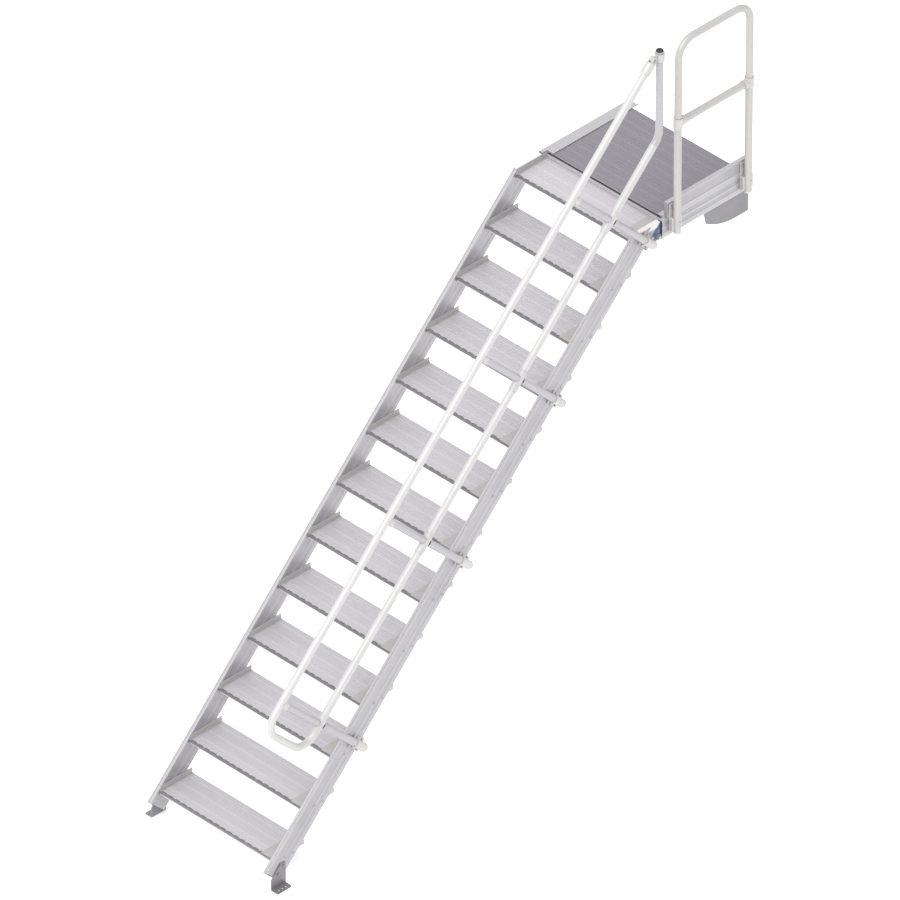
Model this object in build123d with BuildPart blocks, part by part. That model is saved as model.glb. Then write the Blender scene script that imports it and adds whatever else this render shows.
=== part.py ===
"""Aluminium stair flight with a small wall platform, a handrail and a guard rail.

Millimetres. +X runs in the direction of climbing, +Y to the climber's left, +Z up.
The origin lies on the underside of the right foot, in its row of anchor holes,
straight below the nosing of the lowest tread.
"""
from build123d import *
from math import atan2, cos, degrees, radians, sin, tan
import os

os.makedirs("parts", exist_ok=True)

# Flight
rise = 210.0
going = 210.0
first_rise = 165.0
tread_count = 13
clear_width = 800.0

# Treads: ribbed hollow planks held by a folded shoe at each end
tread_depth = 225.0
tread_height = 20.0
tread_wall = 2.5
tread_chamber_count = 5
tread_rib_count = 15
tread_rib_width = 4.0
tread_rib_height = 1.5
shoe_web = 3.0
shoe_leg_width = 76.0
shoe_leg_thickness = 2.0
shoe_short_leg_width = 22.0
shoe_lip_width = 4.0
shoe_upstand = 31.0

# Stringers: hollow extrusions with beads, shallow panels and a grooved edge
stringer_depth = 125.0
stringer_thickness = 25.0
stringer_wall = 3.0
stringer_chamber_count = 3
stringer_above_nosing = 12.0
stringer_below_first_nosing = 77.0
stringer_above_last_tread = 27.0
stringer_cap_thickness = 5.0
stringer_cap_skirt = 22.0
stringer_cap_skirt_thickness = 2.0
stringer_cap_skirt_setback = 112.0
stringer_end_cap_thickness = 2.5
panel_depth = 1.0
panel_levels = (37.0, 85.0)
panel_heights = (44.0, 24.0)
edge_groove_width = 7.0
edge_groove_depth = 2.0
edge_groove_from_middle = 4.0
glide_strip_thickness = 24.0
glide_strip_length = 158.0

# Feet: folded angles on the outer faces of the stringers
foot_plate_thickness = 5.0
foot_front = 35.0
foot_back = 65.0
foot_height = 135.0
foot_top_width = 35.0
foot_front_height = 62.0
foot_flange_width = 50.0
foot_bend_radius = 6.0
foot_corner_radius = 8.0
anchor_row_from_stringer = 31.0
anchor_pitch = 25.0
anchor_count = 3
anchor_hole_radius = 5.5

# Platform
platform_gap = 2.0
platform_length = 646.0
platform_rise = 29.0
beam_height = 104.0
beam_width = 25.0
beam_wall = 3.0
beam_outside_stringer = 8.0
beam_lip_width = 41.0
beam_lip_thickness = 4.0
beam_panel_depth = 1.2
beam_panel_levels = (23.5, 62.5)
beam_panel_heights = (25.0, 23.0)
end_plate_thickness = 4.0
deck_overlap_of_lip = 36.0
deck_height = 30.0
deck_plank_depth = 190.0
deck_plank_count = 3
deck_plank_gap = 1.0
deck_rib_count = 13
nosing_width = 13.0
nosing_from_beam_end = 25.0
cross_beam_size = 40.0
cross_beam_inset = 20.0
toe_board_height = 91.0
toe_board_setback = 38.0
toe_board_panel_level = 36.5
toe_board_panel_height = 57.0

# Joint between flight and platform
joint_web = 16.0
joint_boss_radius = 17.0
joint_boss_from_plate = 20.0
joint_boss_above_beam = 22.0
joint_web_length = 100.0

# Wall brackets
bracket_thickness = 6.0
bracket_length = 314.0
bracket_below_beam = 159.0
bracket_front_drop = 34.0
bracket_curve_drop = 94.0
bracket_flat = 87.0
bracket_nose = 14.0
wall_flange_width = 60.0
wall_hole_radius = 7.0
wall_hole_pitch = 120.0
wall_hole_from_bottom = 45.0

# Rails and posts
tube_diameter = 40.0
tube_wall = 2.5
seat_gap = 0.3
bend_radius = 100.0
top_rail_height = 960.0
knee_rail_height = 428.0
post_positions = (710.0, 1760.0, 2690.0, 3600.0)
post_below_stringer = 20.0
loop_before_first_post = 160.0
riser_lead = 12.0
riser_before_guard = 125.8
riser_top = 3618.0
cap_thickness = 6.0
cap_rounding = 3.0

# Fittings of the handrail
clamp_plate_thickness = 5.0
clamp_width = 88.0
clamp_wall = 3.0
clamp_ear = 12.0
sleeve_wall = 2.8
sleeve_down_slope = 66.0
sleeve_up_slope = 46.0
cup_wall = 3.0
cup_depth = 44.0
cup_bore_extra_radius = 0.2

# Swivel connector at the top of the handrail
collar_wall = 6.0
collar_height = 42.0
pivot_from_riser = 48.0
knuckle_radius = 17.0
knuckle_tongue = 14.0
knuckle_cheek = 8.0
socket_start = 22.0
socket_length = 58.0

# Guard rail on the right side of the platform
guard_from_beam_end = 85.0
guard_spacing = 507.0
guard_height = 1057.0
guard_knee_height = 575.0
guard_above_beam_bottom = 15.0
guard_plate_above_beam_bottom = 27.0
guard_plate_width = 70.0
guard_plate_height = 160.0
guard_plate_thickness = 5.0
guard_block_height = 80.0
guard_block_rounding = 5.0
guard_pocket_width = 15.0
guard_pocket_height = 62.0
guard_pocket_depth = 7.0
tee_wall = 4.0
tee_height = 64.0
tee_reach = 46.0

# Lines and levels that everything else is placed from
tube_radius = tube_diameter / 2
half_width = clear_width / 2
mid_y = half_width + stringer_thickness + anchor_row_from_stringer
pitch = atan2(rise, going)
along = Vector(cos(pitch), 0, sin(pitch))
normal = Vector(-sin(pitch), 0, cos(pitch))
first_nosing = Vector(0, 0, first_rise)
stringer_outer = half_width + stringer_thickness
stringer_underside = stringer_above_nosing - stringer_depth
last_tread_z = first_rise + rise * (tread_count - 1)
stringer_top_z = last_tread_z + stringer_above_last_tread
beam_outer = stringer_outer + beam_outside_stringer
beam_inner = beam_outer - beam_width
beam_top_z = last_tread_z + platform_rise
beam_bottom_z = beam_top_z - beam_height
deck_top_z = beam_top_z - beam_lip_thickness
rail_offset = stringer_outer + clamp_plate_thickness + tube_radius
top_rail_n = top_rail_height * cos(pitch)
knee_rail_n = knee_rail_height * cos(pitch)
end_plate_x = (
    (stringer_top_z + stringer_cap_thickness - first_rise - stringer_underside / cos(pitch)) / tan(pitch)
    + platform_gap
)
beam_front_x = end_plate_x + end_plate_thickness
beam_back_x = beam_front_x + platform_length - end_plate_thickness
deck_front_x = end_plate_x + nosing_from_beam_end + nosing_width
guard_offset = beam_outer + guard_plate_thickness + tube_radius
guard_front_x = end_plate_x + guard_from_beam_end
riser_x = guard_front_x - riser_before_guard


def slope_point(distance, height, y):
    """A point at a distance up the nosing line and a height square to it."""
    point = first_nosing + along * distance + normal * height
    return Vector(point.X, y, point.Z)


def side_y(side, offset):
    """World Y at an offset from the middle of the stair, side +1 left or -1 right."""
    return mid_y + side * offset


def section_plane(distance, side, offset):
    """Plane square to the flight, local X along world Y, local Y square to the slope."""
    return Plane(slope_point(distance, 0, side_y(side, offset)), x_dir=(0, 1, 0), z_dir=along)


def side_plane(y):
    """Upright plane along the flight, local axes world X and Z, facing -Y."""
    return Plane.XZ.offset(-y)


def save(part, name):
    """Label a finished piece and write it as its own file."""
    part.label = name
    export_step(part, f"parts/{name}.step")
    print(f"{name}: {part.volume:.0f} mm3")


# Stringers: a hollow box with shallow panels in both faces and a groove along both edges
stringer_length = (
    (stringer_top_z - first_rise - stringer_underside * cos(pitch)) / sin(pitch)
    + stringer_below_first_nosing
    + stringer_depth
)
stringer_chamber = (stringer_depth - stringer_wall * (stringer_chamber_count + 1)) / stringer_chamber_count
stringer_mid_n = stringer_above_nosing - stringer_depth / 2
for name, side in (("stringer_left", 1), ("stringer_right", -1)):
    with BuildPart() as stringer:
        middle = half_width + stringer_thickness / 2
        with BuildSketch(section_plane(-stringer_below_first_nosing, side, middle)):
            with Locations((0, stringer_mid_n)):
                Rectangle(stringer_thickness, stringer_depth)
                with GridLocations(0, stringer_chamber + stringer_wall, 1, stringer_chamber_count):
                    Rectangle(
                        stringer_thickness - 2 * stringer_wall, stringer_chamber, mode=Mode.SUBTRACT
                    )
            with Locations((side * edge_groove_from_middle, stringer_mid_n)):
                with GridLocations(0, stringer_depth, 1, 2):
                    Rectangle(edge_groove_width, 2 * edge_groove_depth, mode=Mode.SUBTRACT)
            for level, height in zip(panel_levels, panel_heights):
                with Locations((0, stringer_above_nosing - level)):
                    with GridLocations(stringer_thickness, 0, 2, 1):
                        Rectangle(2 * panel_depth, height, mode=Mode.SUBTRACT)
        extrude(amount=stringer_length)
        split(bisect_by=Plane.XY.offset(stringer_top_z), keep=Keep.BOTTOM)
    save(stringer.part, name)

# Closing caps on the level cut at the head of each stringer
cap_front_x = (stringer_top_z - first_rise - stringer_above_nosing / cos(pitch)) / tan(pitch)
cap_back_x = (stringer_top_z - first_rise - stringer_underside / cos(pitch)) / tan(pitch)
with BuildPart() as stringer_caps:
    for side in (1, -1):
        middle = Vector(
            (cap_front_x + cap_back_x) / 2, side_y(side, half_width + stringer_thickness / 2)
        )
        with BuildSketch(Plane.XY.offset(stringer_top_z)):
            with Locations(middle):
                Rectangle(cap_back_x - cap_front_x, stringer_thickness)
        extrude(amount=stringer_cap_thickness)
        skirt_y = side_y(side, stringer_outer + stringer_cap_skirt_thickness / 2)
        skirt_run = stringer_cap_skirt / tan(pitch)
        skirt_front_x = cap_front_x + stringer_cap_skirt_setback
        with BuildSketch(side_plane(skirt_y + stringer_cap_skirt_thickness / 2)):
            with BuildLine():
                Polyline(
                    (skirt_front_x, stringer_top_z + stringer_cap_thickness),
                    (cap_back_x, stringer_top_z + stringer_cap_thickness),
                    (cap_back_x, stringer_top_z),
                    (cap_back_x - skirt_run, stringer_top_z - stringer_cap_skirt),
                    (skirt_front_x - skirt_run, stringer_top_z - stringer_cap_skirt),
                    (skirt_front_x, stringer_top_z), close=True,
                )
            make_face()
        extrude(amount=stringer_cap_skirt_thickness)
save(stringer_caps.part, "stringer_caps")

# End caps on the square cut at the foot of each stringer
with BuildPart() as end_caps:
    for side in (1, -1):
        end_distance = -stringer_below_first_nosing - stringer_end_cap_thickness
        with BuildSketch(section_plane(end_distance, side, half_width + stringer_thickness / 2)):
            with Locations((0, stringer_mid_n)):
                Rectangle(stringer_thickness, stringer_depth)
        extrude(amount=stringer_end_cap_thickness)
save(end_caps.part, "stringer_end_caps")

# Plastic glide strips under the head of each stringer
glide_end = (
    (stringer_top_z - first_rise) / sin(pitch)
    - (stringer_underside - glide_strip_thickness) / tan(pitch)
)
with BuildPart() as glide_strips:
    for side in (1, -1):
        middle = half_width + stringer_thickness / 2
        with BuildSketch(section_plane(glide_end - glide_strip_length, side, middle)):
            with Locations((0, stringer_underside - glide_strip_thickness / 2)):
                Rectangle(stringer_thickness, glide_strip_thickness)
        extrude(amount=glide_strip_length)
    split(bisect_by=Plane.XY.offset(stringer_top_z), keep=Keep.BOTTOM)
    split(bisect_by=Plane.YZ.offset(end_plate_x), keep=Keep.BOTTOM)
save(glide_strips.part, "glide_strips")

# Treads: hollow planks with anti-slip ribs on top
tread_length = clear_width - 2 * shoe_web
tread_chamber_width = (tread_depth - tread_wall * (tread_chamber_count + 1)) / tread_chamber_count
tread_plate_height = tread_height - tread_rib_height
for step in range(tread_count):
    nose_x = going * step
    top_z = first_rise + rise * step
    with BuildPart() as tread:
        with BuildSketch(side_plane(mid_y + tread_length / 2)):
            with Locations((nose_x + tread_depth / 2, top_z - tread_rib_height - tread_plate_height / 2)):
                Rectangle(tread_depth, tread_plate_height)
                with GridLocations(tread_chamber_width + tread_wall, 0, tread_chamber_count, 1):
                    Rectangle(
                        tread_chamber_width, tread_plate_height - 2 * tread_wall, mode=Mode.SUBTRACT
                    )
            rib_pitch = (tread_depth - tread_rib_width) / (tread_rib_count - 1)
            with Locations((nose_x + tread_depth / 2, top_z - tread_rib_height)):
                with GridLocations(rib_pitch, 0, tread_rib_count, 1):
                    Rectangle(tread_rib_width, 2 * tread_rib_height)
        extrude(amount=tread_length)
    save(tread.part, f"tread_{step + 1:02d}")

# Tread shoes: folded plates screwed to the stringers. The left one carries the tread on a
# wide leg and has an upstand over it, the right one is a channel with the wide leg on top.
shoe_top = shoe_leg_thickness
shoe_bottom = -tread_height - shoe_leg_thickness
for name, side, web_top, top_width, bottom_width in (
    ("tread_shoes_left", 1, shoe_upstand, shoe_lip_width, shoe_leg_width),
    ("tread_shoes_right", -1, shoe_top, shoe_leg_width, shoe_short_leg_width),
):
    with BuildPart() as shoes:
        for step in range(tread_count):
            top_z = first_rise + rise * step
            with BuildSketch(Plane.YZ.offset(going * step)):
                web_y = side_y(side, half_width - shoe_web / 2)
                with Locations((web_y, top_z + (web_top + shoe_bottom) / 2)):
                    Rectangle(shoe_web, web_top - shoe_bottom)
                for leg_width, leg_z in (
                    (top_width, shoe_leg_thickness / 2),
                    (bottom_width, shoe_bottom + shoe_leg_thickness / 2),
                ):
                    with Locations((side_y(side, half_width - shoe_web - leg_width / 2), top_z + leg_z)):
                        Rectangle(leg_width, shoe_leg_thickness)
            extrude(amount=tread_depth)
    save(shoes.part, name)

# Feet: a cut plate on the stringer with a flange folded outwards
for name, side in (("foot_left", 1), ("foot_right", -1)):
    outward = Vector(0, side, 0)
    with BuildPart() as foot:
        with BuildSketch(Plane((0, side_y(side, stringer_outer), 0), x_dir=(side * -1, 0, 0), z_dir=outward)):
            with BuildLine():
                front = side * foot_front
                back = side * -foot_back
                shoulder = side * -(foot_back - foot_top_width)
                Polyline(
                    (front, 0), (back, 0), (back, foot_height), (shoulder, foot_height),
                    (front, foot_front_height), close=True,
                )
            make_face()
        extrude(amount=foot_plate_thickness)
        upright_corners = foot.edges().filter_by(Axis.Y).group_by(Axis.Z)[1:]
        fillet([edge for group in upright_corners for edge in group], radius=foot_corner_radius)
        with BuildSketch(Plane.XY):
            flange_y = side_y(side, stringer_outer + foot_flange_width / 2)
            with Locations(((foot_back - foot_front) / 2, flange_y)):
                Rectangle(foot_front + foot_back, foot_flange_width)
        extrude(amount=foot_plate_thickness)
        heel = foot.edges().filter_by(Axis.X).sort_by(Axis.Z)
        bend_line = [
            edge for edge in heel
            if abs(edge.center().Z) < foot_plate_thickness / 2
            and abs(edge.center().Y - side_y(side, stringer_outer)) < foot_plate_thickness / 2
        ]
        fillet(bend_line, radius=foot_bend_radius)
        flange_corners = [
            edge for edge in foot.edges().filter_by(Axis.Z)
            if abs(edge.center().Y - side_y(side, stringer_outer + foot_flange_width)) < foot_plate_thickness
        ]
        fillet(flange_corners, radius=foot_corner_radius)
        row_y = side_y(side, stringer_outer + anchor_row_from_stringer)
        with Locations(Plane(((foot_back - foot_front) / 2, row_y, foot_plate_thickness))):
            with GridLocations(anchor_pitch, 0, anchor_count, 1):
                Hole(radius=anchor_hole_radius)
    save(foot.part, name)

# Platform beams: hollow box with shallow panels in the outer face, and a lip over the deck
for name, side in (("platform_beam_left", 1), ("platform_beam_right", -1)):
    with BuildPart() as beam:
        middle_z = (beam_top_z + beam_bottom_z) / 2
        middle_y = side_y(side, beam_outer - beam_width / 2)
        with BuildSketch(Plane.YZ.offset(beam_front_x)):
            with Locations((middle_y, middle_z)):
                Rectangle(beam_width, beam_height)
                with GridLocations(0, beam_height / 2, 1, 2):
                    Rectangle(
                        beam_width - 2 * beam_wall, beam_height / 2 - 2 * beam_wall, mode=Mode.SUBTRACT
                    )
            for level, height in zip(beam_panel_levels, beam_panel_heights):
                with Locations((side_y(side, beam_outer), beam_top_z - level)):
                    Rectangle(2 * beam_panel_depth, height, mode=Mode.SUBTRACT)
        extrude(amount=beam_back_x - beam_front_x)
        with BuildSketch(Plane.YZ.offset(deck_front_x)):
            with Locations((side_y(side, beam_inner - beam_lip_width / 2),
                            beam_top_z - beam_lip_thickness / 2)):
                Rectangle(beam_lip_width, beam_lip_thickness)
        extrude(amount=beam_back_x - deck_front_x)
    save(beam.part, name)

# Toe board: hollow band standing on the right beam
toe_board_x = beam_front_x + toe_board_setback
with BuildPart() as toe_board:
    with BuildSketch(Plane.YZ.offset(toe_board_x)):
        with Locations((side_y(-1, beam_outer - beam_width / 2), beam_top_z + toe_board_height / 2)):
            Rectangle(beam_width, toe_board_height)
            with GridLocations(0, toe_board_height / 2, 1, 2):
                Rectangle(
                    beam_width - 2 * beam_wall, toe_board_height / 2 - 2 * beam_wall, mode=Mode.SUBTRACT
                )
        with Locations((side_y(-1, beam_outer), beam_top_z + toe_board_height - toe_board_panel_level)):
            Rectangle(2 * beam_panel_depth, toe_board_panel_height, mode=Mode.SUBTRACT)
    extrude(amount=beam_back_x - toe_board_x)
save(toe_board.part, "toe_board")

# Deck: ribbed hollow planks laid across, their ends under the beam lips
deck_length = 2 * (beam_inner - beam_lip_width + deck_overlap_of_lip)
plank_depth = deck_plank_depth - deck_plank_gap
plank_chamber = (plank_depth - tread_wall * (tread_chamber_count + 1)) / tread_chamber_count
deck_plate_height = deck_height - tread_rib_height
with BuildPart() as deck:
    for index in range(deck_plank_count):
        plank_x = deck_front_x + deck_plank_depth * index + plank_depth / 2
        with BuildSketch(side_plane(mid_y + deck_length / 2)):
            with Locations((plank_x, deck_top_z - tread_rib_height - deck_plate_height / 2)):
                Rectangle(plank_depth, deck_plate_height)
                with GridLocations(plank_chamber + tread_wall, 0, tread_chamber_count, 1):
                    Rectangle(plank_chamber, deck_plate_height - 2 * tread_wall, mode=Mode.SUBTRACT)
            deck_rib_pitch = (plank_depth - tread_rib_width) / (deck_rib_count - 1)
            with Locations((plank_x, deck_top_z - tread_rib_height)):
                with GridLocations(deck_rib_pitch, 0, deck_rib_count, 1):
                    Rectangle(tread_rib_width, 2 * tread_rib_height)
        extrude(amount=deck_length)
save(deck.part, "deck_planks")

# Nosing bar in front of the deck, on the back edge of the top tread
nosing_length = 2 * (half_width - shoe_web - seat_gap)
with BuildPart() as deck_nosing:
    nosing_height = deck_top_z - last_tread_z - shoe_leg_thickness
    with BuildSketch(side_plane(mid_y + nosing_length / 2)):
        with Locations((deck_front_x - nosing_width / 2, deck_top_z - nosing_height / 2)):
            Rectangle(nosing_width, nosing_height)
            Rectangle(nosing_width - 2 * tread_wall, nosing_height - 2 * tread_wall, mode=Mode.SUBTRACT)
    extrude(amount=nosing_length)
save(deck_nosing.part, "deck_nosing")

# Cross beams: square tubes under the deck, from beam to beam
deck_back_x = deck_front_x + deck_plank_depth * deck_plank_count
deck_bottom_z = deck_top_z - deck_height
with BuildPart() as cross_beams:
    for beam_x in (
        deck_front_x + cross_beam_inset + cross_beam_size / 2,
        deck_back_x - cross_beam_inset - cross_beam_size / 2,
    ):
        with BuildSketch(side_plane(mid_y + beam_inner)):
            with Locations((beam_x, deck_bottom_z - cross_beam_size / 2)):
                Rectangle(cross_beam_size, cross_beam_size)
                Rectangle(
                    cross_beam_size - 2 * beam_wall, cross_beam_size - 2 * beam_wall, mode=Mode.SUBTRACT
                )
        extrude(amount=2 * beam_inner)
save(cross_beams.part, "cross_beams")

# End plates that close the platform beams towards the flight
with BuildPart() as beam_end_plates:
    for side in (1, -1):
        with BuildSketch(Plane.YZ.offset(end_plate_x)):
            with Locations((side_y(side, beam_outer - beam_width / 2), beam_bottom_z + beam_height / 2)):
                Rectangle(beam_width, beam_height)
        extrude(amount=end_plate_thickness)
save(beam_end_plates.part, "beam_end_plates")

# Joint brackets: castings that hang the flight on the end plates of the platform beams
web_top_n = stringer_underside - glide_strip_thickness
web_toe_x = end_plate_x - joint_web_length
web_toe_z = first_rise + web_toe_x * tan(pitch) + web_top_n / cos(pitch)
web_head_z = first_rise + end_plate_x * tan(pitch) + web_top_n / cos(pitch)
joint_middle = (beam_inner + stringer_outer) / 2
boss = (end_plate_x - joint_boss_from_plate, beam_bottom_z + joint_boss_above_beam)
with BuildPart() as joint_brackets:
    for side in (1, -1):
        with BuildSketch(side_plane(side_y(side, joint_middle) + joint_web / 2)):
            with BuildLine():
                Polyline(
                    (web_toe_x, web_toe_z), (end_plate_x, web_head_z), (end_plate_x, beam_bottom_z),
                    (boss[0], beam_bottom_z), close=True,
                )
            make_face()
        extrude(amount=joint_web)
        boss_start = stringer_outer - joint_web / 2
        with BuildSketch(side_plane(side_y(side, (boss_start + beam_outer) / 2)
                                    + (beam_outer - boss_start) / 2)):
            with Locations(boss):
                Circle(joint_boss_radius)
        extrude(amount=beam_outer - boss_start)
save(joint_brackets.part, "joint_brackets")

# Wall brackets: gusset plates inside the beams, with a flange that bolts to the wall
bracket_front_x = beam_back_x - bracket_length
bracket_bottom_z = beam_bottom_z - bracket_below_beam
bracket_top_z = deck_bottom_z - cross_beam_size
with BuildPart() as wall_brackets:
    for side in (1, -1):
        plate_y = side_y(side, beam_inner - bracket_thickness / 2)
        with BuildSketch(side_plane(plate_y + bracket_thickness / 2)):
            with BuildLine():
                flat_end = (beam_back_x - bracket_flat, bracket_bottom_z)
                nose = (bracket_front_x + bracket_nose, beam_bottom_z - bracket_curve_drop)
                front = (bracket_front_x, beam_bottom_z - bracket_front_drop)
                Line((beam_back_x, bracket_bottom_z), flat_end)
                TangentArc(flat_end, nose, tangent=(-1, 0))
                Polyline(
                    nose, front, (bracket_front_x, bracket_top_z),
                    (beam_back_x, bracket_top_z), (beam_back_x, bracket_bottom_z),
                )
            make_face()
        extrude(amount=bracket_thickness)
        flange_inner = side_y(side, beam_inner - bracket_thickness - wall_flange_width / 2)
        flange_height = bracket_top_z - bracket_bottom_z
        with BuildSketch(Plane.YZ.offset(beam_back_x - bracket_thickness)):
            with Locations((flange_inner, bracket_bottom_z + flange_height / 2)):
                Rectangle(wall_flange_width, flange_height)
            with Locations((flange_inner, bracket_bottom_z + wall_hole_from_bottom + wall_hole_pitch / 2)):
                with GridLocations(0, wall_hole_pitch, 1, 2):
                    Circle(wall_hole_radius, mode=Mode.SUBTRACT)
        extrude(amount=bracket_thickness)
save(wall_brackets.part, "wall_brackets")


# Handrail, right side: a straight top rail from the first post to the swivel connector
rail_y = side_y(-1, rail_offset)
first_post = post_positions[0]
pivot_x = riser_x - pivot_from_riser
pivot_z = first_rise + pivot_x * tan(pitch) + top_rail_height
pivot_distance = pivot_x * cos(pitch) + (pivot_z - first_rise) * sin(pitch)
top_rail_end = pivot_distance - socket_start
rail_plane = section_plane(first_post, -1, rail_offset)
with BuildPart() as top_rail:
    with BuildSketch(rail_plane):
        with Locations((0, top_rail_n)):
            Circle(tube_radius)
            Circle(tube_radius - tube_wall, mode=Mode.SUBTRACT)
    extrude(amount=top_rail_end - first_post)
save(top_rail.part, "handrail_top_rail")

# End loop: one bent tube from the top rail back to the knee rail
loop_distance = first_post - loop_before_first_post
with BuildPart() as end_loop:
    with BuildLine():
        FilletPolyline(
            slope_point(first_post, top_rail_n, rail_y),
            slope_point(loop_distance, top_rail_n, rail_y),
            slope_point(loop_distance, knee_rail_n, rail_y),
            slope_point(first_post, knee_rail_n, rail_y),
            radius=bend_radius,
        )
    with BuildSketch(Plane(slope_point(first_post, top_rail_n, rail_y), z_dir=along * -1)):
        Circle(tube_radius)
        Circle(tube_radius - tube_wall, mode=Mode.SUBTRACT)
    sweep()
save(end_loop.part, "handrail_end_loop")

# Knee rail: straight up to the bend of the riser
riser_turn = radians(90) - pitch
bend_tangent = bend_radius * tan(riser_turn / 2)
corner_distance = riser_x / cos(pitch) + knee_rail_n * tan(pitch)
knee_rail_end = corner_distance - bend_tangent
with BuildPart() as knee_rail:
    with BuildSketch(rail_plane):
        with Locations((0, knee_rail_n)):
            Circle(tube_radius)
            Circle(tube_radius - tube_wall, mode=Mode.SUBTRACT)
    extrude(amount=knee_rail_end - riser_lead - first_post)
save(knee_rail.part, "handrail_knee_rail")

# Riser: bent end tube that turns upright and carries the swivel connector
riser_top_z = first_rise + riser_top
with BuildPart() as riser:
    with BuildLine():
        FilletPolyline(
            slope_point(knee_rail_end - riser_lead, knee_rail_n, rail_y),
            slope_point(corner_distance, knee_rail_n, rail_y),
            (riser_x, rail_y, riser_top_z),
            radius=bend_radius,
        )
    with BuildSketch(Plane(slope_point(knee_rail_end - riser_lead, knee_rail_n, rail_y), z_dir=along)):
        Circle(tube_radius)
        Circle(tube_radius - tube_wall, mode=Mode.SUBTRACT)
    sweep()
save(riser.part, "handrail_riser")

# Posts: tubes square to the slope, from below the stringer up to the top rail
post_foot_n = stringer_underside - post_below_stringer
half_joint = tube_radius + seat_gap
sleeve_outer = half_joint + sleeve_wall
post_gap = sleeve_outer + seat_gap
for index, distance in enumerate(post_positions, start=1):
    foot_point = slope_point(distance, post_foot_n, rail_y)
    knee_point = slope_point(distance, knee_rail_n + post_gap, rail_y)
    with BuildPart() as post:
        for start, length in (
            (foot_point, knee_rail_n - post_gap - post_foot_n),
            (knee_point, top_rail_n - knee_rail_n - post_gap - half_joint),
        ):
            with BuildSketch(Plane(start, x_dir=(0, 1, 0), z_dir=normal)):
                Circle(tube_radius)
                Circle(tube_radius - tube_wall, mode=Mode.SUBTRACT)
            extrude(amount=length)
    save(post.part, f"handrail_post_{index}")

# Post clamps: saddles screwed to the stringer round the lower end of each post
clamp_bore = tube_radius + seat_gap
clamp_outer = clamp_bore + clamp_wall
with BuildPart() as post_clamps:
    for distance in post_positions:
        start = slope_point(distance, post_foot_n, side_y(-1, stringer_outer))
        with BuildSketch(Plane(start, x_dir=along, z_dir=normal)):
            with Locations((0, -clamp_plate_thickness / 2)):
                Rectangle(2 * (clamp_outer + clamp_ear), clamp_plate_thickness)
            with Locations((0, -(clamp_plate_thickness + tube_radius) / 2)):
                Rectangle(2 * clamp_outer, clamp_plate_thickness + tube_radius)
            with Locations((0, -(clamp_plate_thickness + tube_radius))):
                Circle(clamp_outer)
                Circle(clamp_bore, mode=Mode.SUBTRACT)
        extrude(amount=clamp_width)
save(post_clamps.part, "post_clamps")

# Rail fittings: a sleeve on the knee rail at each post, and a cup under the top rail
with BuildPart() as knee_sleeve:
    with BuildSketch(Plane.YZ.offset(-sleeve_down_slope)):
        Circle(sleeve_outer)
        Circle(half_joint, mode=Mode.SUBTRACT)
    extrude(amount=sleeve_down_slope + sleeve_up_slope)

cup_outer = half_joint + cup_wall
with BuildPart() as rail_cup:
    with BuildSketch(Plane.XY.offset(-cup_depth)):
        Circle(cup_outer)
        Circle(half_joint + cup_bore_extra_radius, mode=Mode.SUBTRACT)
    extrude(amount=cup_depth)
    with BuildSketch(Plane.YZ.offset(-cup_outer)):
        Circle(half_joint)
    extrude(amount=2 * cup_outer, mode=Mode.SUBTRACT)

with BuildPart() as rail_fittings:
    for distance in post_positions:
        with Locations(Plane(slope_point(distance, knee_rail_n, rail_y), x_dir=along, z_dir=normal)):
            add(knee_sleeve.part)
        with Locations(Plane(slope_point(distance, top_rail_n, rail_y), x_dir=along, z_dir=normal)):
            add(rail_cup.part)
save(rail_fittings.part, "rail_fittings")

# Swivel connector: a collar clamped on the riser, pinned to a socket on the top rail
collar_outer = half_joint + collar_wall
cheek_gap = knuckle_tongue / 2 + seat_gap
with BuildPart() as swivel_connector:
    with BuildSketch(Plane((riser_x, rail_y, pivot_z - collar_height / 2))):
        Circle(collar_outer)
    extrude(amount=collar_height)
    with BuildSketch(side_plane(rail_y + knuckle_tongue / 2)):
        with Locations((pivot_x, pivot_z)):
            Circle(knuckle_radius)
        with Locations(((pivot_x + riser_x) / 2, pivot_z)):
            Rectangle(pivot_from_riser, 2 * knuckle_radius)
    extrude(amount=knuckle_tongue)
    with BuildSketch(Plane((riser_x, rail_y, pivot_z - collar_height))):
        Circle(half_joint)
    extrude(amount=2 * collar_height, mode=Mode.SUBTRACT)
    with BuildSketch(section_plane(pivot_distance - socket_start - socket_length, -1, rail_offset)):
        with Locations((0, top_rail_n)):
            Circle(collar_outer)
            Circle(half_joint, mode=Mode.SUBTRACT)
    extrude(amount=socket_length)
    with BuildSketch(section_plane(pivot_distance - socket_start, -1, rail_offset)):
        with Locations((0, top_rail_n)):
            Circle(collar_outer)
    extrude(amount=socket_start - knuckle_radius - 2 * seat_gap)
    for side in (1, -1):
        cheek_y = rail_y + side * (cheek_gap + knuckle_cheek / 2) + knuckle_cheek / 2
        with BuildSketch(Plane((pivot_x, cheek_y, pivot_z), x_dir=along, z_dir=(0, -1, 0))):
            Circle(knuckle_radius)
            with Locations((-socket_start / 2, 0)):
                Rectangle(socket_start, 2 * knuckle_radius)
        extrude(amount=knuckle_cheek)
save(swivel_connector.part, "swivel_connector")

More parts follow.
